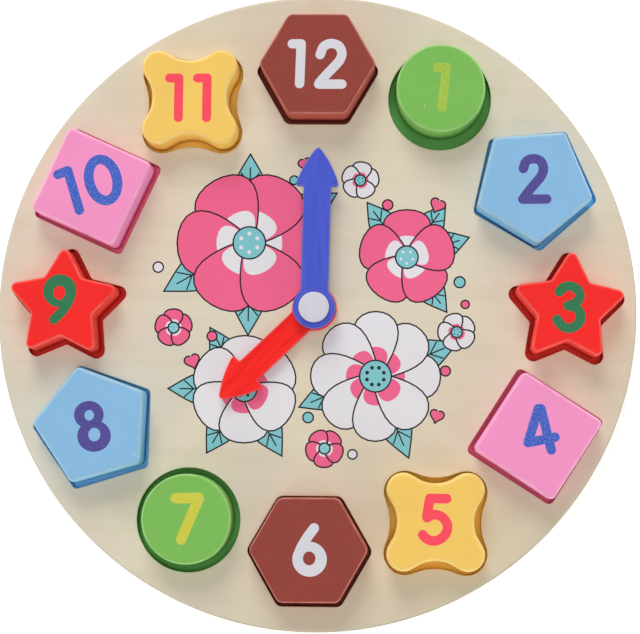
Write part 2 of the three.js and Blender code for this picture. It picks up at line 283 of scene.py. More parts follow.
class Shell:
    """A closed skin, built ring by ring. Each face has a finish, and each point has a value
    that says how far it lies on a rounded edge."""

    def __init__(self):
        self.points, self.edges, self.faces, self.finishes = [], [], [], []

    def ring(self, outline, height, edge=0.0):
        """Points along the outline at one height. Gives back their indices."""
        first = len(self.points)
        self.points += [(point.x, point.y, height) for point in outline]
        self.edges += [edge] * len(outline)
        return list(range(first, len(self.points)))

    def wall(self, low, high, finish=0):
        """A band of faces from one ring to the next."""
        for i in range(len(low)):
            j = (i + 1) % len(low)
            self.faces.append([low[i], low[j], high[j], high[i]])
            self.finishes.append(finish)

    def stack(self, outline, rings, finish=0, foot=None):
        """Walls through rings of (height, growth, edge), from the foot ring if there is one.
        Gives back the lowest and the highest ring."""
        made = [self.ring(grown(outline, growth), height, edge) for height, growth, edge in rings]
        made = made if foot is None else [foot] + made
        for low, high in zip(made, made[1:]):
            self.wall(low, high, finish)
        return made[0], made[-1]

    def flat(self, rings, finish=0, patches=()):
        """The flat face inside the first ring and outside the others. Patches are outlines
        with a finish, laid one over another; a patch with the finish None clears its place."""
        known = [index for ring in rings for index in ring]
        height = self.points[known[0]][2]
        shapes = [[Vector(self.points[index][:2]) for index in ring] for ring in rings]
        shapes += [outline for outline, _ in patches]
        corners, faces = [], []
        for shape in shapes:
            faces.append(list(range(len(corners), len(corners) + len(shape))))
            corners += shape
        spots, _, cells, sources, _, covers = delaunay_2d_cdt(corners, [], faces, 1, least_gap, True)
        place = {}
        for cell, cover in zip(cells, covers):
            if 0 not in cover or any(0 < index < len(rings) for index in cover):
                continue
            for spot in cell:
                if spot not in place:
                    old = [known[index] for index in sources[spot] if index < len(known)]
                    if not old:
                        old = self.ring([spots[spot]], height)
                    place[spot] = old[0]
            over = [patches[index - len(rings)][1]
                    for index in sorted(cover) if index >= len(rings)]
            self.faces.append([place[spot] for spot in cell])
            self.finishes.append(over[-1] if over and over[-1] is not None else finish)


def make_piece(name, shell, materials, sharp_degrees=40):
    """The shell as an object, smooth but for its sharp corners."""
    mesh = bpy.data.meshes.new(name)
    mesh.from_pydata([[value * mm for value in point] for point in shell.points], [], shell.faces)
    for material in materials:
        mesh.materials.append(material)
    mesh.polygons.foreach_set("material_index", shell.finishes)
    edge = mesh.attributes.new("edge", "FLOAT", "POINT")
    edge.data.foreach_set("value", shell.edges)
    skin = bmesh.new()
    skin.from_mesh(mesh)
    bmesh.ops.delete(skin, geom=[v for v in skin.verts if not v.link_faces], context="VERTS")
    bmesh.ops.recalc_face_normals(skin, faces=skin.faces)
    skin.to_mesh(mesh)
    skin.free()
    mesh.polygons.foreach_set("use_smooth", [True] * len(mesh.polygons))
    mesh.set_sharp_from_angle(angle=math.radians(sharp_degrees))
    piece = bpy.data.objects.new(name, mesh)
    bpy.context.scene.collection.objects.link(piece)
    return piece


def new_group(name, inputs, outputs):
    """An empty node group with the given sockets, and its two end nodes."""
    group = bpy.data.node_groups.new(name, "ShaderNodeTree")
    kinds = {"colour": "NodeSocketColor", "number": "NodeSocketFloat"}
    for socket, kind in inputs.items():
        group.interface.new_socket(socket, in_out="INPUT", socket_type=kinds[kind])
    for socket, kind in outputs.items():
        group.interface.new_socket(socket, in_out="OUTPUT", socket_type=kinds[kind])
    return group, group.nodes.new("NodeGroupInput"), group.nodes.new("NodeGroupOutput")


def noise(tree, spot, scale, detail, distortion=0.0):
    """Clouds from 0 to 1, so many to the metre. Three scales stretch them along the axes."""
    if isinstance(scale, tuple):
        spot = add_node(tree, "ShaderNodeMapping", {"Vector": spot, "Scale": scale}).outputs[0]
        scale = 1.0
    return add_node(tree, "ShaderNodeTexNoise", {
        "Vector": spot, "Scale": scale, "Detail": detail, "Distortion": distortion}).outputs["Fac"]


def worked(tree, operation, *values):
    """The result of an arithmetic step or a comparison."""
    return add_node(tree, "ShaderNodeMath", dict(enumerate(values)), operation=operation).outputs[0]


def share_between(tree, value, low, high, least=0.0, most=1.0, ramp="LINEAR"):
    """Runs from least to most as the value runs from low to high."""
    return add_node(tree, "ShaderNodeMapRange", {
        "Value": value, "From Min": low, "From Max": high, "To Min": least, "To Max": most},
        interpolation_type=ramp).outputs[0]


def relief(tree, height, strength, depth=0.1):
    """The faint unevenness of a surface, as the normal that a shader takes."""
    return add_node(tree, "ShaderNodeBump", {
        "Height": height, "Strength": strength, "Distance": depth * mm}).outputs[0]


# Grain of a pale rotary-cut veneer: faint streaks along X and broad warmer patches, with a
# painted shade that deepens the tone towards the rim at about five o'clock.
toward_painted_shade = (0.42, -0.91, 0)
shade_from, shade_to = 0.05, 0.108
veneer_grain, given, result = new_group(
    "veneer_grain",
    {"Wood": "colour", "Warm": "colour", "Streak": "colour", "Painted Shade": "colour", "Strength": "number"},
    {"Colour": "colour", "Height": "number"})
spot = add_node(veneer_grain, "ShaderNodeTexCoord").outputs["Object"]
patches = share_between(veneer_grain, noise(veneer_grain, spot, 14.0, 2.0), 0.35, 0.7)
streaks = share_between(veneer_grain, noise(veneer_grain, spot, (9, 210, 60), 5.0, 0.6), 0.42, 0.78)
fibres = noise(veneer_grain, spot, (160, 2600, 900), 2.0)
toned = blended(veneer_grain, patches, given.outputs["Wood"], given.outputs["Warm"])
for lines in (streaks, fibres):
    weight = worked(veneer_grain, "MULTIPLY", lines, given.outputs["Strength"])
    toned = blended(veneer_grain, weight, toned, given.outputs["Streak"])
# Painted shade: the veneer darkens towards the rim at about five o'clock.
along_painted_shade = add_node(veneer_grain, "ShaderNodeVectorMath", {0: spot, 1: toward_painted_shade}, operation="DOT_PRODUCT")
on_painted_shade = share_between(veneer_grain, along_painted_shade.outputs["Value"], shade_from, shade_to, most=0.8)
with_painted_shade = blended(veneer_grain, on_painted_shade, toned, given.outputs["Painted Shade"])
veneer_grain.links.new(with_painted_shade, result.inputs["Colour"])
veneer_grain.links.new(fibres, result.inputs["Height"])


def bare_wood(name, wood, warm, streak, strength, roughness, painted_shade=None):
    """Veneer, or a flat ink that the veneer's grain shows through, with a painted shade if a shade tone is
    given.
    """
    material, tree = empty_material(name)
    grain = add_node(tree, "ShaderNodeGroup", {
        "Wood": wood, "Warm": warm, "Streak": streak, "Painted Shade": painted_shade or wood, "Strength": strength},
        node_tree=veneer_grain)
    finished(tree, add_node(tree, "ShaderNodeBsdfPrincipled", {
        "Base Color": grain.outputs["Colour"], "Roughness": roughness, "Specular IOR Level": 0.2,
        "Normal": relief(tree, grain.outputs["Height"], 0.12)}))
    return material


# The cut edge of plywood: pale and dark plies turn and turn about, a little wavy and
# flecked with end grain, with a thin glue line at the foot of each.
ply_waver = 0.16
glue_share = 0.09
ply_layers, given, result = new_group(
    "ply_layers", {"Ply": "number", "Pale": "colour", "Dark": "colour", "Glue": "colour"},
    {"Colour": "colour"})
spot = add_node(ply_layers, "ShaderNodeTexCoord").outputs["Object"]
height = add_node(ply_layers, "ShaderNodeSeparateXYZ", {"Vector": spot}).outputs["Z"]
waver = noise(ply_layers, spot, 90.0, 2.0)
plies_up = worked(ply_layers, "DIVIDE",
                  worked(ply_layers, "MULTIPLY_ADD", waver, ply_waver * mm, height),
                  given.outputs["Ply"])
on_dark_ply = worked(ply_layers, "GREATER_THAN", worked(ply_layers, "FLOORED_MODULO", plies_up, 2.0), 1.0)
on_glue = worked(ply_layers, "LESS_THAN", worked(ply_layers, "FRACT", plies_up), glue_share)
flecks = noise(ply_layers, spot, (700, 700, 5000), 3.0)
plies = blended(ply_layers, on_dark_ply, given.outputs["Pale"], given.outputs["Dark"])
flecked = blended(ply_layers, flecks, plies, given.outputs["Dark"])
glued = blended(ply_layers, on_glue, flecked, given.outputs["Glue"])
ply_layers.links.new(glued, result.inputs["Colour"])


def ply_edge(name, ply):
    """The cut edge of plywood whose plies have the given thickness."""
    material, tree = empty_material(name)
    # The plies' tones are greyed and darkened, partly as painted shade on the board's rim.
    layers = add_node(tree, "ShaderNodeGroup", {
        "Ply": ply * mm, "Pale": linear(172, 159, 138), "Dark": linear(142, 127, 106),
        "Glue": linear(106, 90, 70)}, node_tree=ply_layers)
    finished(tree, add_node(tree, "ShaderNodeBsdfPrincipled", {
        "Base Color": layers.outputs["Colour"], "Roughness": 0.75, "Specular IOR Level": 0.25}))
    return material


# Paint sprayed on wood: a slow drift of tone, painted light that gives the upright sides a tone
# of their own, a fine sandy speckle, and a thin pale coat along the rounded edges, partly a painted
# highlight.
paint_coat, given, result = new_group(
    "paint_coat",
    {"Colour": "colour", "Drift": "colour", "Side": "colour", "Thin Coat And Highlight": "colour", "Speck": "colour",
     "Speckle": "number", "Grain Size": "number"},
    {"Colour": "colour", "Height": "number"})
spot = add_node(paint_coat, "ShaderNodeTexCoord").outputs["Object"]
drift = share_between(paint_coat, noise(paint_coat, spot, 55.0, 3.0), 0.35, 0.7)
normal = add_node(paint_coat, "ShaderNodeNewGeometry").outputs["Normal"]
facing_up = add_node(paint_coat, "ShaderNodeSeparateXYZ", {"Vector": normal}).outputs["Z"]
# Painted light: upright faces take the side tone, lighter than the top on the blocks.
on_painted_side_light = share_between(paint_coat, facing_up, 0.75, 0.1, ramp="SMOOTHSTEP")
sand = noise(paint_coat, spot, given.outputs["Grain Size"], 2.0)
on_speck = worked(paint_coat, "MULTIPLY", share_between(paint_coat, sand, 0.45, 0.75),
                  given.outputs["Speckle"])
on_edge = add_node(paint_coat, "ShaderNodeAttribute", attribute_name="edge").outputs["Fac"]
uneven = share_between(paint_coat, noise(paint_coat, spot, 160.0, 3.0), 0.3, 0.62, least=0.35)
# The thin pale coat on the rounded edges, which is also a painted highlight there.
on_thin_coat_and_highlight = worked(paint_coat, "MULTIPLY", worked(paint_coat, "POWER", on_edge, 2.2), uneven)
coated = given.outputs["Colour"]
for place, tone in ((drift, "Drift"), (on_painted_side_light, "Side"), (on_speck, "Speck"), (on_thin_coat_and_highlight, "Thin Coat And Highlight")):
    coated = blended(paint_coat, place, coated, given.outputs[tone])
paint_coat.links.new(coated, result.inputs["Colour"])
paint_coat.links.new(sand, result.inputs["Height"])


def toward(colour, other, share):
    """The colour with a share of another in it."""
    return tuple(a + (b - a) * share for a, b in zip(colour, other))


pure_white = (1, 1, 1, 1)
pure_black = (0, 0, 0, 1)


def painted(name, colour, side, thin_and_highlight=None, speckle=0.15, speck=0.12, drift=0.05, roughness=0.6,
            grain=3200.0):
    """Sprayed paint. Side is the tone of painted light on upright faces, and the thin tone is also a
    painted highlight on the edges. Speckle is how much speckle there is, and speck how pale it is.
    """
    material, tree = empty_material(name)
    coat = add_node(tree, "ShaderNodeGroup", {
        "Colour": colour, "Drift": toward(colour, pure_black, drift), "Side": side,
        "Thin Coat And Highlight": thin_and_highlight or colour, "Speck": toward(colour, pure_white, speck),
        "Speckle": speckle, "Grain Size": grain}, node_tree=paint_coat)
    finished(tree, add_node(tree, "ShaderNodeBsdfPrincipled", {
        "Base Color": coat.outputs["Colour"], "Roughness": roughness, "Specular IOR Level": 0.1,
        "Normal": relief(tree, coat.outputs["Height"], 0.1)}))
    return material


# The blocks' paints, with the tones of their tops, the painted light on their sides, and the thin edges
# with their painted highlight.
paints = {
    "hexagon": painted("brown_paint", linear(146, 65, 56), linear(190, 90, 78), linear(208, 138, 126),
                       speckle=0.25, speck=0.08),
    "round": painted("green_paint", linear(122, 187, 88), linear(136, 198, 98), linear(168, 217, 140),
                     speckle=0.3),
    "pentagon": painted("blue_paint", linear(137, 187, 228), linear(132, 204, 248), linear(172, 208, 222)),
    "star": painted("red_paint", linear(245, 40, 38), linear(255, 78, 68), linear(248, 112, 104),
                    speckle=0.12),
    "square": painted("pink_paint", linear(243, 149, 200), linear(255, 160, 218), linear(250, 188, 218)),
    "lobed": painted("yellow_paint", linear(243, 202, 102), linear(255, 212, 104), linear(250, 221, 142)),
}

# Copies of the paints for the floors and walls of the cut-outs, toned lighter or deeper to paint the light
# and shade inside them.
recess_paints_with_painted_light = {
    "hexagon": painted("brown_recess", linear(136, 58, 44), linear(136, 58, 44)),
    "round": painted("green_recess", linear(98, 168, 84), linear(88, 164, 76)),
    "pentagon": painted("blue_recess", linear(135, 210, 250), linear(125, 205, 248)),
    "star": painted("red_recess", linear(228, 60, 46), linear(216, 54, 41), speckle=0.05),
    "square": painted("crimson_recess", linear(252, 124, 158), linear(246, 112, 146)),
    "lobed": painted("amber_recess", linear(255, 214, 96), linear(255, 204, 84)),
}

board_low, board_high = (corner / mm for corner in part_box("base_board"))
face_low, face_high = (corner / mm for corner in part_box("face_board"))
rim_outline = circle(board_high.x, count=288)
blocks = sorted(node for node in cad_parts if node.startswith("block_"))


def number_and_kind(node):
    """The number on a block and the kind of its outline, from its name."""
    _, number, kind = node.split("_")
    return int(number), kind


# Each cut-out is the outline of the face board that lies round a block.
most_off_centre = 10.0
rim_margin = 1.0
block_middles = {node: middle_of(wall_outlines(node)[0]) for node in blocks}
cut_outs = {}
for outline in map(smoothed, wall_outlines("face_board")):
    middle = middle_of(outline)
    nearest = min(blocks, key=lambda node: (block_middles[node] - middle).length)
    off_centre = (block_middles[nearest] - middle).length
    reach = max(point.length for point in outline)
    if off_centre < most_off_centre and reach < board_high.x - rim_margin:
        cut_outs[nearest] = outline

# Finishes of both boards: 0 is the flat face, 1 the cut edge, then come a paint for each kind of
# block, toned to paint the light and shade in its cut-out, and the inks.
kinds = list(paints)
edge_finish = 1
first_paint = 2
first_ink = first_paint + len(kinds)


def paint_index(node):
    """The finish of a block's cut-out."""
    return first_paint + kinds.index(number_and_kind(node)[1])


base = Shell()
rim_rings = lower_edge(board_low.z, board_edge_round) + [(board_high.z, 0, 0)]
rim_low, rim_top = base.stack(rim_outline, rim_rings, finish=edge_finish)
bore = base.ring(circle(counterbore_radius), board_low.z)
bore_top = base.ring(circle(counterbore_radius), board_low.z + counterbore_depth)
hole_low = base.ring(circle(stem_hole_radius), board_low.z + counterbore_depth)
hole_top = base.ring(circle(stem_hole_radius), board_high.z)
base.wall(bore, bore_top, finish=edge_finish)
base.wall(hole_low, hole_top, finish=edge_finish)
base.flat([rim_low, bore])
base.flat([bore_top, hole_low])
# The cut-outs' floors in their recess paints, toned to paint the light and shade inside them.
floor_patches_with_painted_light = [(outline, paint_index(node)) for node, outline in cut_outs.items()]
base.flat([rim_top, hole_top], patches=floor_patches_with_painted_light)
underside_veneer = bare_wood(
    "underside_veneer", wood=linear(205, 186, 152), warm=linear(214, 190, 150),
    streak=linear(160, 130, 95), strength=0.35, roughness=0.7)
base_plies = ply_edge("base_plies", ply=1.0)
base_board = make_piece("base_board_ply", base, [underside_veneer, base_plies, *recess_paints_with_painted_light.values()])
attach(base_board, "board")
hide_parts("base_board")


# The face board: six millimetres of plywood with a pale veneer, routed through for the
# twelve blocks, its rim and cut-outs eased by hand, then printed and lacquered. The walls
# of the cut-outs have the blocks' paint, in tones that paint the light and shade inside them.
cut_edge_round = 0.3
top_of_face = face_high.z

# The plies, greyed and darkened, show at the rim as far up its rounding as this ring, which paints a thin
# shaded line round the rim.
last_ply_ring_of_rim_shade = 5
face = Shell()
eased = upper_edge(top_of_face, board_edge_round)
rim_rings = [(face_low.z, 0, 0), *eased[:last_ply_ring_of_rim_shade]]
rim_low, rim_waist = face.stack(rim_outline, rim_rings, finish=edge_finish)
_, rim_top = face.stack(rim_outline, eased[last_ply_ring_of_rim_shade:], foot=rim_waist)
hole_low = face.ring(circle(stem_hole_radius), face_low.z)
hole_top = face.ring(circle(stem_hole_radius), top_of_face)
face.wall(hole_low, hole_top, finish=edge_finish)
openings_low, openings_top = [hole_low], [hole_top]
flare = flared_edge(top_of_face, cut_edge_round)
for node, outline in cut_outs.items():
    low, waist = face.stack(outline, [(face_low.z, 0, 0), flare[0]], finish=paint_index(node))
    _, top = face.stack(outline, flare[1:], foot=waist)
    openings_low.append(low)
    openings_top.append(top)
face.flat([rim_low, *openings_low])


# The dial is printed with flowers and leaves in flat inks with dark key lines. Each shape
# lies over the ones before it.
def curve(points, steps=6):
    """A smooth open line through the given points."""
    ends = [Vector(point) for point in points]
    if len(ends) == 2:
        return ends
    ends = [2 * ends[0] - ends[1], *ends, 2 * ends[-1] - ends[-2]]
    line = []
    for a, b, c, d in zip(ends, ends[1:], ends[2:], ends[3:]):
        for step in range(steps):
            t = step / steps
            line.append((2 * b + (c - a) * t + (2 * a - 5 * b + 4 * c - d) * t**2
                         + (3 * b - a - 3 * c + d) * t**3) / 2)
    return line + [ends[-2]]


def stroke(width, points, squareness=2.0, cap_steps=10):
    """The outline of a stroke along a line, with ends from round, at 2, to nearly square."""
    line = curve(points)
    half = width / 2
    along = [(b - a).normalized() for a, b in zip(line[:1] + line[:-1], line[1:] + line[-1:])]
    aside = [Vector((-way.y, way.x)) * half for way in along]

    def cap(middle, way):
        out, left = way * half, Vector((-way.y, way.x)) * half
        power = 2 / squareness
        ring = []
        for step in range(1, cap_steps):
            t = math.pi * step / cap_steps
            c, s = math.cos(t), math.sin(t)
            ring.append(middle + left * math.copysign(abs(c) ** power, -c) + out * s ** power)
        return ring

    right_side = [point - off for point, off in zip(line, aside)]
    left_side = [point + off for point, off in zip(line, aside)]
    return right_side + cap(line[-1], along[-1]) + left_side[::-1] + cap(line[0], -along[0])


def placed(outline, middle, turn=0):
    """The outline turned about the origin by so many degrees, and then moved to its middle."""
    c, s = math.cos(math.radians(turn)), math.sin(math.radians(turn))
    return [Vector((middle[0] + c * point.x - s * point.y, middle[1] + s * point.x + c * point.y))
            for point in outline]


def petal(reach, width, count=26):
    """A petal along +X from the origin, fuller towards its tip."""
    turns = [2 * math.pi * i / count for i in range(count)]
    along = [0.5 - 0.5 * math.cos(t) for t in turns]
    fullness = [0.62 * math.sin(t) * (0.35 + 0.65 * u) for t, u in zip(turns, along)]
    return [Vector((reach * u, -width * v)) for u, v in zip(along, fullness)]


def leaf(reach, width, count=12):
    """A leaf along +X from the origin, pointed at both ends."""
    belly = [math.pi * i / count for i in range(count + 1)]
    lower = [Vector((reach * i / count, -width / 2 * math.sin(t) * (1.15 - 0.3 * i / count)))
             for i, t in enumerate(belly)]
    return lower + [Vector((point.x, -point.y)) for point in lower[-2:0:-1]]


def heart(size, count=32):
    """A heart as wide as its size, with the usual sum of cosines for its height."""
    turns = [2 * math.pi * (i + 0.5) / count for i in range(count)]
    return anticlockwise([Vector((
        size / 32 * 16 * math.sin(t) ** 3,
        size / 32 * (13 * math.cos(t) - 5 * math.cos(2 * t) - 2 * math.cos(3 * t) - math.cos(4 * t))))
        for t in turns])


key_line = 0.56
vein_line = 0.5
pink_ink, teal_ink, white_ink, key_ink = range(first_ink, first_ink + 4)


def keyed(outline, ink):
    """A shape in its ink, with a dark line round it."""
    return [(grown(outline, key_line), key_ink), (outline, ink)]


def leaf_print(middle, turn, reach, width):
    """A leaf with a vein along its middle and four to its sides."""
    veins = [[(0.3 * reach, 0), (0.86 * reach, 0)]]
    for share in (0.5, 0.68):
        for side in (-1, 1):
            veins.append([(share * reach, 0), ((share + 0.12) * reach, side * 0.24 * width)])
    drawn = [placed(stroke(vein_line, vein, cap_steps=4), middle, turn) for vein in veins]
    return keyed(placed(leaf(reach, width), middle, turn), teal_ink) + [(vein, key_ink) for vein in drawn]


def flower_print(middle, petals, turn, reach, width, inks, heart_radius, inner=0.46):
    """A flower of petals with a smaller petal inside each, and a round heart with seeds."""
    outer_ink, inner_ink, heart_ink, seed_ink = inks
    shapes = []
    for k in range(petals):
        way = turn + 360 * k / petals
        shapes += keyed(placed(petal(reach, width), middle, way), outer_ink)
        shapes.append((placed(petal(inner * reach, 0.55 * width), middle, way), inner_ink))
    shapes += keyed(circle(heart_radius, 32, middle), heart_ink)
    for k in range(petals):
        t = math.radians(turn + 360 * (k + 0.5) / petals)
        seed_ring = 0.6 * heart_radius
        seed = (middle[0] + seed_ring * math.cos(t), middle[1] + seed_ring * math.sin(t))
        shapes.append((circle(0.13 * heart_radius, 10, seed), seed_ink))
    return shapes


dial_print = []
for middle, turn, reach, width in (
        ((-24, 24), 30, 36, 15), ((-24, 24), 90, 32, 14), ((-24, 24), 210, 35, 15),
        ((-24, 24), 270, 33, 14), ((22, -24), 22.5, 31, 13), ((22, -24), 292.5, 31, 13),
        ((22, -24), 202.5, 29, 12), ((33, 19), 306, 24, 11), ((33, 19), 126, 24, 11),
        ((33, 19), 54, 23, 11), ((33, 19), 18, 23, 11), ((-25, -29), 180, 27, 12),
        ((-25, -29), 300, 27, 12), ((-25, -29), 120, 25, 11), ((-25, -29), 240, 26, 12)):
    dial_print += leaf_print(middle, turn, reach, width)
pink_flower = (pink_ink, white_ink, teal_ink, white_ink)
white_flower = (white_ink, pink_ink, teal_ink, key_ink)
for middle, petals, turn, reach, width, inks, heart_radius in (
        ((-24, 24), 6, 0, 26, 25, pink_flower, 5.6), ((22, -24), 8, 0, 23, 17, white_flower, 5.4),
        ((33, 19), 5, 90, 17, 18, pink_flower, 3.8), ((-25, -29), 6, 30, 19, 19, white_flower, 4.2),
        ((-51, -7), 5, 20, 6.5, 7, pink_flower, 1.7), ((4, -50), 5, 50, 6.5, 7, pink_flower, 1.7),
        ((16, 47), 5, 10, 6.5, 7, white_flower, 1.7), ((51, -8), 5, 35, 6.5, 7, white_flower, 1.7)):
    dial_print += flower_print(middle, petals, turn, reach, width, inks, heart_radius)
for middle, turn, size in (
        ((-44, -19), 20, 5), ((44, 38), -25, 5), ((-4, 53), 15, 4.5), ((44, -38), -15, 4.5)):
    dial_print += keyed(placed(heart(size), middle, turn), pink_ink)
for middle, radius, ink in (
        ((-57, 15), 1.6, white_ink), ((-8, 47), 1.3, teal_ink), ((26, 38), 1.6, pink_ink),
        ((52, 10), 1.7, teal_ink), ((-2, -39), 1.6, teal_ink), ((-37, -10), 1.5, pink_ink),
        ((47, -22), 1.5, pink_ink), ((14, -52), 1.4, white_ink), ((54, 2), 1.2, pink_ink)):
    dial_print += keyed(circle(radius, 24, middle), ink)
face.flat([rim_top, *openings_top], patches=dial_print)
# Its deeper tone is a painted shade towards the rim at about five o'clock.
face_veneer = bare_wood(
    "face_veneer", wood=linear(221, 214, 197), warm=linear(224, 211, 189),
    streak=linear(194, 181, 154), painted_shade=linear(205, 194, 169), strength=0.22, roughness=0.5)
face_plies = ply_edge("face_plies", ply=1.2)
print_inks = [
    bare_wood(name, wood=ink, warm=toward(ink, pure_black, 0.05), streak=toward(ink, pure_black, 0.12),
              strength=0.15, roughness=0.42)
    for name, ink in (
        ("pink_print", linear(238, 97, 142)), ("teal_print", linear(124, 196, 206)),
        ("white_print", linear(226, 225, 232)), ("key_print", linear(14, 14, 26)))]
face_board = make_piece("face_board_ply", face,
                        [face_veneer, face_plies, *recess_paints_with_painted_light.values(), *print_inks])
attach(face_board, "board")
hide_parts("face_board")


# The number blocks: solid wood, rounded over, sprayed all over and pad-printed with the
# number in one colour. Each lies loose in its cut-out.
block_edge_rounds = {
    "hexagon": 0.8, "round": 1.0, "pentagon": 1.5, "star": 1.1, "square": 1.4, "lobed": 1.6}

# Strokes of (width, line) and rings of (middle, radii, middle and radii of the counter,
# turn), from the middle of the block's face.
digits = {
    12: {"strokes": [
        (3.4, [(-9.1, 7.2), (-5.9, 7.2)]), (3.4, [(-5.9, 7.2), (-6.3, -7.4)]),
        (3.4, [(1, 3.2), (2.2, 6.1), (4.8, 7.3), (7.6, 6.4), (8.8, 3.8), (8, 1.1), (5.6, -1.7),
               (2.9, -4.6), (0.8, -7.1)]),
        (3.4, [(0.6, -7.6), (8.9, -7.6)])]},
    1: {"strokes": [(3.4, [(-1.2, 7.4), (1.9, 7.4)]), (3.3, [(1.9, 7.4), (0.45, -7)])],
        "squareness": 3.6},
    2: {"strokes": [
        (3.4, [(-3.6, 5.2), (-2.6, 7.8), (-0.1, 8.8), (2.5, 7.9), (3.5, 5.3), (2.7, 2.6),
               (0.6, -0.1), (-1.7, -2.9), (-3.6, -5.5)]),
        (3.4, [(-3.8, -5.8), (4.6, -5.7)])]},
    3: {"strokes": [
        (3.4, [(-3.6, 5.6), (-2, 7.2), (0.3, 7.6), (2.7, 6.5), (3.6, 4.2), (2.4, 1.8), (-0.5, 0.7)]),
        (3.4, [(-0.5, 0.7), (2.4, -0.2), (3.9, -2.9), (2.9, -5.7), (0.1, -7.3), (-2.6, -6.5),
               (-4.4, -4.2)])]},
    4: {"strokes": [(3.3, [(0.05, 9.4), (-3.6, -2.5)]), (3.3, [(0.95, 9.4), (4.5, -5)]),
                    (3.3, [(-3.6, -2.5), (5.8, -0.5)])]},
    5: {"strokes": [
        (3.4, [(-2.1, 8.2), (3.8, 8.2)]), (3.4, [(-2.1, 8.1), (-3.1, 1.7)]),
        (3.4, [(-3, 1.5), (-0.8, 2.6), (1.9, 2), (3.9, -0.3), (3.9, -3.1), (2, -5.6),
               (-0.8, -6.5), (-3.2, -5.7), (-4.5, -4.4)])]},
    6: {"strokes": [(3.5, [(2, 7.7), (-0.6, 4.1), (-2.7, 0.3), (-3.4, -2.7)])],
        "rings": [((0.55, -3.1), (6.05, 6.05), (0.4, -2.8), (2.2, 2.4), 0)]},
    7: {"strokes": [(3.7, [(-3.7, 7.3), (4.4, 7.5)]), (3.7, [(4.5, 7.3), (-1.5, -7.1)])]},
    8: {"rings": [((-1.3, 3.6), (5.3, 4.9), (-1.15, 3.4), (1.7, 1.85), 0),
                  ((0.75, -3.9), (6, 5.6), (0.85, -3.4), (2.15, 2.4), 0)]},
    9: {"strokes": [(3.4, [(-2.7, -5.7), (0.3, -2.6), (2.6, 1), (3.4, 4.1)])],
        "rings": [((-0.8, 4.6), (6, 5.9), (-0.95, 3.9), (2.1, 2.5), 0)]},
    10: {"strokes": [(3.4, [(-12.1, 4.1), (-8.7, 5.5)]), (3.4, [(-8.5, 5.4), (-4, -8.9)])],
         "rings": [((4.3, 2.15), (6.8, 9.4), (4.3, 2.15), (3.15, 5.9), 16)]},
    11: {"strokes": [(3.3, [(-7.2, 6.8), (-3.8, 6.8)]), (3.3, [(-3.8, 6.8), (-3.8, -7.7)]),
                     (3.3, [(2.9, 6.8), (6.4, 6.8)]), (3.3, [(6.4, 6.8), (6.4, -7.7)])]},
}
inks = {
    12: linear(214, 214, 224), 6: linear(214, 214, 224), 1: linear(160, 194, 66),
    7: linear(202, 202, 62), 2: linear(82, 74, 150), 8: linear(82, 74, 150),
    3: linear(45, 120, 80), 9: linear(45, 120, 80), 4: linear(58, 92, 194),
    10: linear(58, 92, 194), 5: linear(250, 75, 95), 11: linear(250, 75, 95),
}

# How each ink took on the paint: speckle, how pale the specks are, and their grain.
even_ink = (0.35, 0.12, 3200.0)
mottled_inks = {
    4: (0.7, 0.22, 1700.0), 10: (0.7, 0.22, 1700.0), 1: (0.6, 0.18, 1500.0), 7: (0.6, 0.18, 1300.0)}

# Where a fleck of paint is missing and pale wood shows.
chips = {1: (-5.9, -6.6), 8: (15.2, -10.1)}
chip_radius = 0.28
chipped = painted("chipped_spot", linear(214, 210, 196), linear(214, 210, 196))


def ellipse(middle, radii, turn, count=40):
    """An ellipse with the given half axes, turned by so many degrees."""
    angles = [2 * math.pi * i / count for i in range(count)]
    upright = [Vector((radii[0] * math.cos(t), radii[1] * math.sin(t))) for t in angles]
    return placed(upright, middle, turn)


def digit_patches(number, middle):
    """The patches of a block's top, with 1 for the ink and 2 for a chip."""
    digit = digits[number]
    squareness = digit.get("squareness", 2.0)
    inked = [stroke(width, line, squareness) for width, line in digit.get("strokes", [])]
    cleared = []
    for centre, radii, counter, counter_radii, turn in digit.get("rings", []):
        inked.append(ellipse(centre, radii, turn))
        cleared.append(ellipse(counter, counter_radii, turn))
    bared = [circle(chip_radius, 8, chips[number])] if number in chips else []
    return [(placed(outline, middle), finish)
            for outlines, finish in ((inked, 1), (cleared, None), (bared, 2)) for outline in outlines]


for node in blocks:
    number, kind = number_and_kind(node)
    low, high = (corner.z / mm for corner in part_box(node))
    outline = smoothed(wall_outlines(node)[0])
    block = Shell()
    rounding = block_edge_rounds[kind]
    bottom, top = block.stack(outline, lower_edge(low, rounding) + upper_edge(high, rounding))
    block.flat([bottom])
    block.flat([top], patches=digit_patches(number, middle_of(outline)))
    speckle, speck, grain = mottled_inks.get(number, even_ink)
    ink = painted(f"ink_{number}", inks[number], inks[number], speckle=speckle, speck=speck, grain=grain)
    piece = make_piece(f"painted_{node}", block, [paints[kind], ink, chipped])
    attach(piece, f"block_{number}")
    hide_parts(node)


# The hands: moulded plastic, each with a round hub, a low boss above and below it and a
# barbed head. They hang on the rivet's stem one above the other.
hand_edge_round = 0.4
boss_edge_round = 0.2
boss_over = 0.4
boss_inset = 1.0

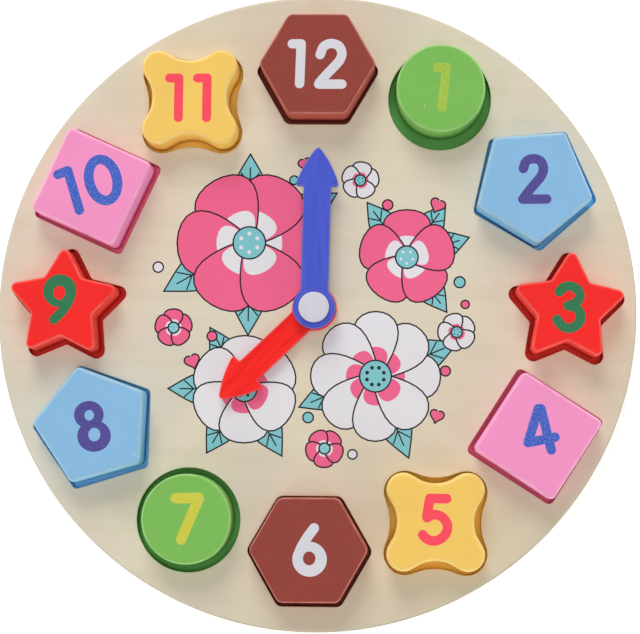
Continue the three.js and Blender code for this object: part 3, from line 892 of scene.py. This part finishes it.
# Plastic as it leaves the mould: flow marks along one way and a few specks of dust, with a
# painted highlight that makes the rounded edges paler.
moulding, given, result = new_group(
    "moulding", {"Colour": "colour", "Flow": "colour", "Flow Turn": "number", "Dust": "number"},
    {"Colour": "colour", "Height": "number"})
spot = add_node(moulding, "ShaderNodeTexCoord").outputs["Object"]
flow_turn = add_node(moulding, "ShaderNodeCombineXYZ", {"Z": given.outputs["Flow Turn"]}).outputs[0]
along_flow = add_node(moulding, "ShaderNodeMapping", {
    "Vector": spot, "Rotation": flow_turn, "Scale": (0.002, 0.022, 0.005)}, vector_type="TEXTURE")
flow = share_between(moulding, noise(moulding, along_flow.outputs[0], 1.0, 3.0), 0.3, 0.7)
streaked = blended(moulding, flow, given.outputs["Colour"], given.outputs["Flow"])
on_edge = add_node(moulding, "ShaderNodeAttribute", attribute_name="edge").outputs["Fac"]
# A painted highlight: the rounded edges are mixed towards a pale grey-white.
edge_highlighted = blended(moulding, worked(moulding, "MULTIPLY", on_edge, 0.12), streaked, (0.9, 0.9, 0.95, 1))
specks = add_node(moulding, "ShaderNodeTexVoronoi", {"Vector": spot, "Scale": 300.0})
near_speck = worked(moulding, "LESS_THAN", specks.outputs["Distance"], 0.1)
lot = add_node(moulding, "ShaderNodeSeparateColor", {"Color": specks.outputs["Color"]}).outputs[0]
kept_speck = worked(moulding, "LESS_THAN", lot, given.outputs["Dust"])
on_dust = worked(moulding, "MULTIPLY", near_speck, kept_speck)
dusted = blended(moulding, on_dust, edge_highlighted, (0.8, 0.8, 0.9, 1))
moulding.links.new(dusted, result.inputs["Colour"])
moulding.links.new(noise(moulding, spot, 900.0, 2.0), result.inputs["Height"])


def moulded(name, colour, roughness, flow_degrees=0.0, streak=0.14, dust=0.1):
    """Moulded plastic. Streak is how dark the flow marks are, and dust the share of specks."""
    material, tree = empty_material(name)
    plastic = add_node(tree, "ShaderNodeGroup", {
        "Colour": toward(colour, pure_white, 0.012), "Flow": toward(colour, pure_black, streak),
        "Flow Turn": math.radians(flow_degrees), "Dust": dust}, node_tree=moulding)
    finished(tree, add_node(tree, "ShaderNodeBsdfPrincipled", {
        "Base Color": plastic.outputs["Colour"], "Roughness": roughness, "Specular IOR Level": 0.12,
        "Normal": relief(tree, plastic.outputs["Height"], 0.05)}))
    return material


def hand(node, body, hub_radius, material):
    """A hand on its body: the plate, the boss above and below it, and the hole through them."""
    low, high = (corner.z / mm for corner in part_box(node))
    outline = smoothed(wall_outlines(node)[0])
    plate_top = high - boss_over
    heights = [vertex.co.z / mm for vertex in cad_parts[node].data.vertices]
    plate_low = min(height for height in heights if height > low + foot_tolerance)
    plate_rings = lower_edge(plate_low, hand_edge_round) + upper_edge(plate_top, hand_edge_round)
    shell = Shell()
    under, over = shell.stack(outline, plate_rings)
    boss = circle(hub_radius - boss_inset)
    under_root, under_rim = shell.stack(boss, [(plate_low, 0, 0), (low, 0, 0)])
    over_root, over_rim = shell.stack(boss, [(plate_top, 0, 0)] + upper_edge(high, boss_edge_round)[1:])
    bore_low, bore_high = shell.stack(circle(stem_hole_radius), [(low, 0, 0), (high, 0, 0)])
    shell.flat([under, under_root])
    shell.flat([under_rim, bore_low])
    shell.flat([over, over_root])
    shell.flat([over_rim, bore_high])
    piece = make_piece(f"moulded_{node}", shell, [material])
    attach(piece, body)
    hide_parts(node)


red_moulding = moulded("red_moulding", linear(250, 24, 19), roughness=0.5, flow_degrees=-45)
blue_moulding = moulded("blue_moulding", linear(70, 87, 206), roughness=0.5, streak=0.1)
hand("hour_hand", "hour_hand", hub_radius=8.0, material=red_moulding)
hand("minute_hand", "minute_hand", hub_radius=7.6, material=blue_moulding)


# The rivet: a white button with a hollow stem from the front, and a flange with a pin
# pressed into that stem from behind.
def turned(name, profile, material, count=72):
    """A turned piece from (radius, height) points, closed at both ends."""
    shell = Shell()
    rings = [shell.ring(circle(radius, count), height) for radius, height in profile]
    for low, high in zip(rings, rings[1:]):
        shell.wall(low, high)
    shell.flat([rings[0]])
    shell.flat([rings[-1]])
    return make_piece(name, shell, [material])


button_low, button_high = (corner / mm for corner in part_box("hub_button"))
rivet_low, rivet_high = (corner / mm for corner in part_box("rivet_back"))
least_radius = 0.2
stem_radius = 3.0
pin_bore_radius = 2.2
pin_end_room = 0.6
button_bottom = 16.3
button_rim_top = 17.3
button_edge_round = 0.4
dome_steps = 12

dome_foot = button_high.x - button_edge_round
dome_rise = button_high.z - button_rim_top
dome_radius = (dome_foot**2 + dome_rise**2) / (2 * dome_rise)
dome_half = math.asin(dome_foot / dome_radius)


def dome_point(step):
    """A point of the dome, from its foot up to the least radius at its crown."""
    t = dome_half * (1 - step / dome_steps)
    return (dome_radius * math.sin(t) + least_radius * step / dome_steps,
            button_high.z - dome_radius * (1 - math.cos(t)))


button_profile = [
    (least_radius, rivet_high.z + pin_end_room), (pin_bore_radius, rivet_high.z + pin_end_room),
    (pin_bore_radius, button_low.z), (stem_radius, button_low.z), (stem_radius, button_bottom),
    (button_high.x, button_bottom),
    *[(dome_foot + button_edge_round * math.cos(t), button_rim_top - button_edge_round * (1 - math.sin(t)))
      for t in quarter()],
    *[dome_point(step) for step in range(1, dome_steps + 1)],
]
white_moulding = moulded("white_moulding", linear(209, 210, 222), roughness=0.4, streak=0.05, dust=0.0)
button = turned("rivet_button", button_profile, white_moulding)
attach(button, "board")
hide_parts("hub_button")

pin_radius = 1.9
pin_chamfer = 0.4
flange_round = 0.3
flange_thickness = 1.0
flange_top = rivet_low.z + flange_thickness
rivet_profile = [
    (least_radius, rivet_low.z),
    *[(rivet_high.x - flange_round * (1 - math.sin(t)), rivet_low.z + flange_round * (1 - math.cos(t)))
      for t in quarter()],
    (rivet_high.x, flange_top), (pin_radius, flange_top), (pin_radius, rivet_high.z - pin_chamfer),
    (pin_radius - pin_chamfer, rivet_high.z), (least_radius, rivet_high.z),
]
rivet = turned("rivet_flange", rivet_profile, white_moulding)
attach(rivet, "board")
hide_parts("rivet_back")
